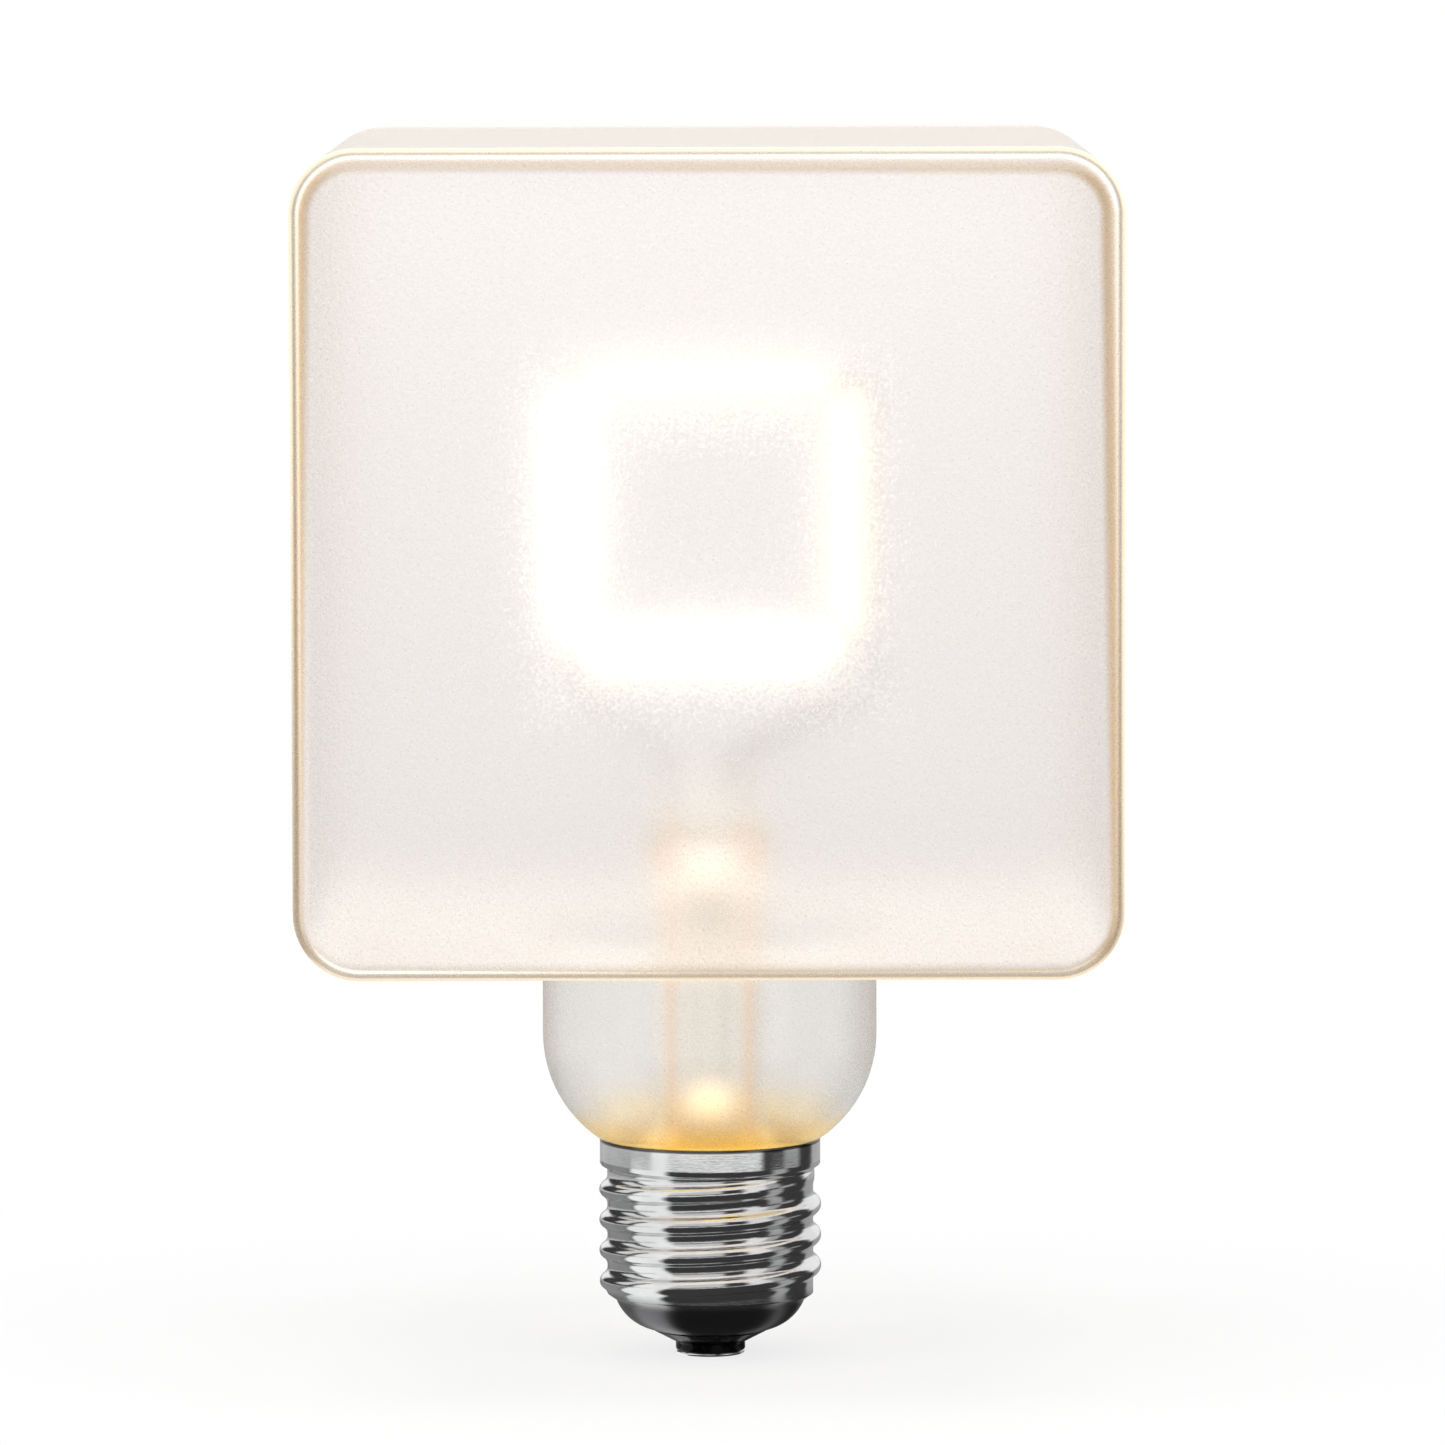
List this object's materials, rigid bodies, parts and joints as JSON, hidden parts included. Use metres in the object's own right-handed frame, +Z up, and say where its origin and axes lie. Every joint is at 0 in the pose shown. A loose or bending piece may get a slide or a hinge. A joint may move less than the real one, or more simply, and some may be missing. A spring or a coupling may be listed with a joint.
{
  "type": "led cube bulb",
  "caption": "Cube-shaped frosted glass lamp with a square of lit filaments on a glass stem and a 27 mm screw cap",
  "frame": {"origin": "centre of the flat underside of the centre contact, on the lamp's axis", "axes": "+Z up the lamp's axis from the cap to the glass, X across the cube's front, which faces -Y"},
  "size_m": [0.094, 0.094, 0.1435],
  "materials": {
    "frosted_glass": "fine matt frost outside, faintly champagne tinted",
    "clear_glass": "fire polished",
    "nickel_plate": "bright plated sheet",
    "black_glass": "glossy black",
    "filament_white": "lit phosphor coating",
    "filament_warm": "lit phosphor coating, warmer",
    "steel_wire": "drawn and bright",
    "copper_wire": "copper coated wire",
    "tinned_wire": "tinned",
    "solder": "dull grey solder",
    "cement": "matt, fired",
    "board": "green solder mask",
    "capacitor_sleeve": "shrunk sleeve",
    "choke_body": "shrunk sleeve",
    "resistor_body": "lacquered",
    "chip_body": "moulded, matt",
    "chip_resistor": "glazed top"
  },
  "bodies": {
    "root": {"basing_cement": "cement", "bridge_rectifier": "chip_body", "centre_contact": "nickel_plate", "choke": "choke_body", "contact_solder": "solder", "contact_wire": "tinned_wire", "corner_link_lower_left": "steel_wire", "corner_link_lower_right": "steel_wire", "corner_link_upper_left": "steel_wire", "corner_link_upper_right": "steel_wire", "driver_board": "board", "driver_chip": "chip_body", "electrolytic_capacitor": "capacitor_sleeve", "exhaust_tube": "clear_glass", "filament_bottom": "filament_white", "filament_left": "filament_white", "filament_right": "filament_warm", "filament_tab_bottom_left": "steel_wire", "filament_tab_bottom_right": "steel_wire", "filament_tab_left_lower": "steel_wire", "filament_tab_left_upper": "steel_wire", "filament_tab_right_lower": "steel_wire", "filament_tab_right_upper": "steel_wire", "filament_tab_top_left": "steel_wire", "filament_tab_top_right": "steel_wire", "filament_top": "filament_warm", "fusible_resistor": "resistor_body", "glass_envelope": "frosted_glass", "glass_stem": "clear_glass", "insulator": "black_glass", "lead_wire_left": "steel_wire", "lead_wire_right": "steel_wire", "outer_lead_left": "copper_wire", "outer_lead_right": "copper_wire", "screw_shell": "nickel_plate", "sense_resistor_left": "chip_resistor", "sense_resistor_right": "chip_resistor", "shell_wire": "tinned_wire", "support_wire": "steel_wire"}
  },
  "joints": []
}
